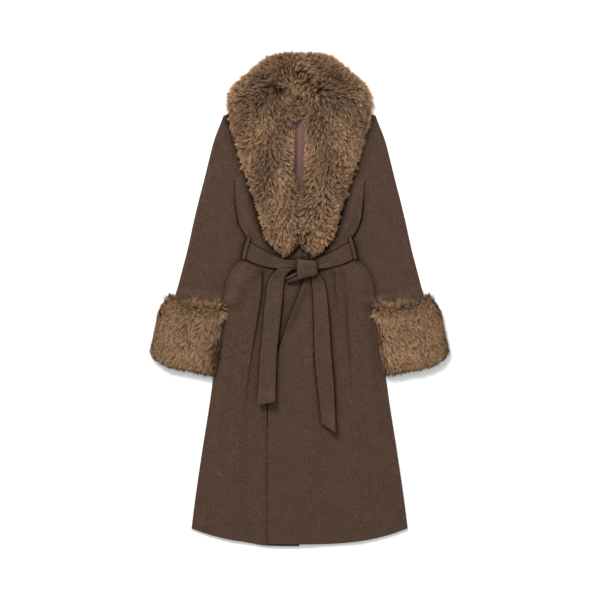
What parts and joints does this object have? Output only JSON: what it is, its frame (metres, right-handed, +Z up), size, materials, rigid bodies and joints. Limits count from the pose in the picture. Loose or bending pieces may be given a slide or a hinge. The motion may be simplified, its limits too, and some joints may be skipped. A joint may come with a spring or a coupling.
{
  "type": "wrap coat",
  "caption": "Long brown wool wrap coat lying flat, with a wide fur shawl collar, fur cuffs and a tied cloth belt.",
  "frame": {"origin": "on the floor under the middle of the coat's bounding box", "axes": "+Y to the collar, +X to the wearer's left, +Z up through the front: the coat lies flat on its back"},
  "size_m": [0.7358, 1.2145, 0.0377],
  "materials": {
    "wool": "matt brushed wool, dark brown",
    "wool_dark": "matt brushed wool of the back, dark brown",
    "belt_wool": "matt brushed wool, doubled and pressed",
    "fur": "long soft fur, brown with pale tips",
    "lining": "smooth lining, mauve brown",
    "label": "plain woven label, cream"
  },
  "bodies": {
    "root": {"back": "wool_dark", "back_lining": "lining", "neck_label": "label", "front_left": "wool", "front_right": "wool", "sleeve_left": "wool", "sleeve_right": "wool", "cuff_left": "fur", "cuff_right": "fur", "collar_left": "fur", "collar_right": "fur", "belt_loop_left": "wool", "belt_loop_right": "wool", "belt_back": "belt_wool", "belt_front_left": "belt_wool", "belt_front_right": "belt_wool", "belt_tail_left": "belt_wool", "belt_tail_right": "belt_wool", "belt_knot": "belt_wool", "belt_roll": "belt_wool"}
  },
  "joints": []
}
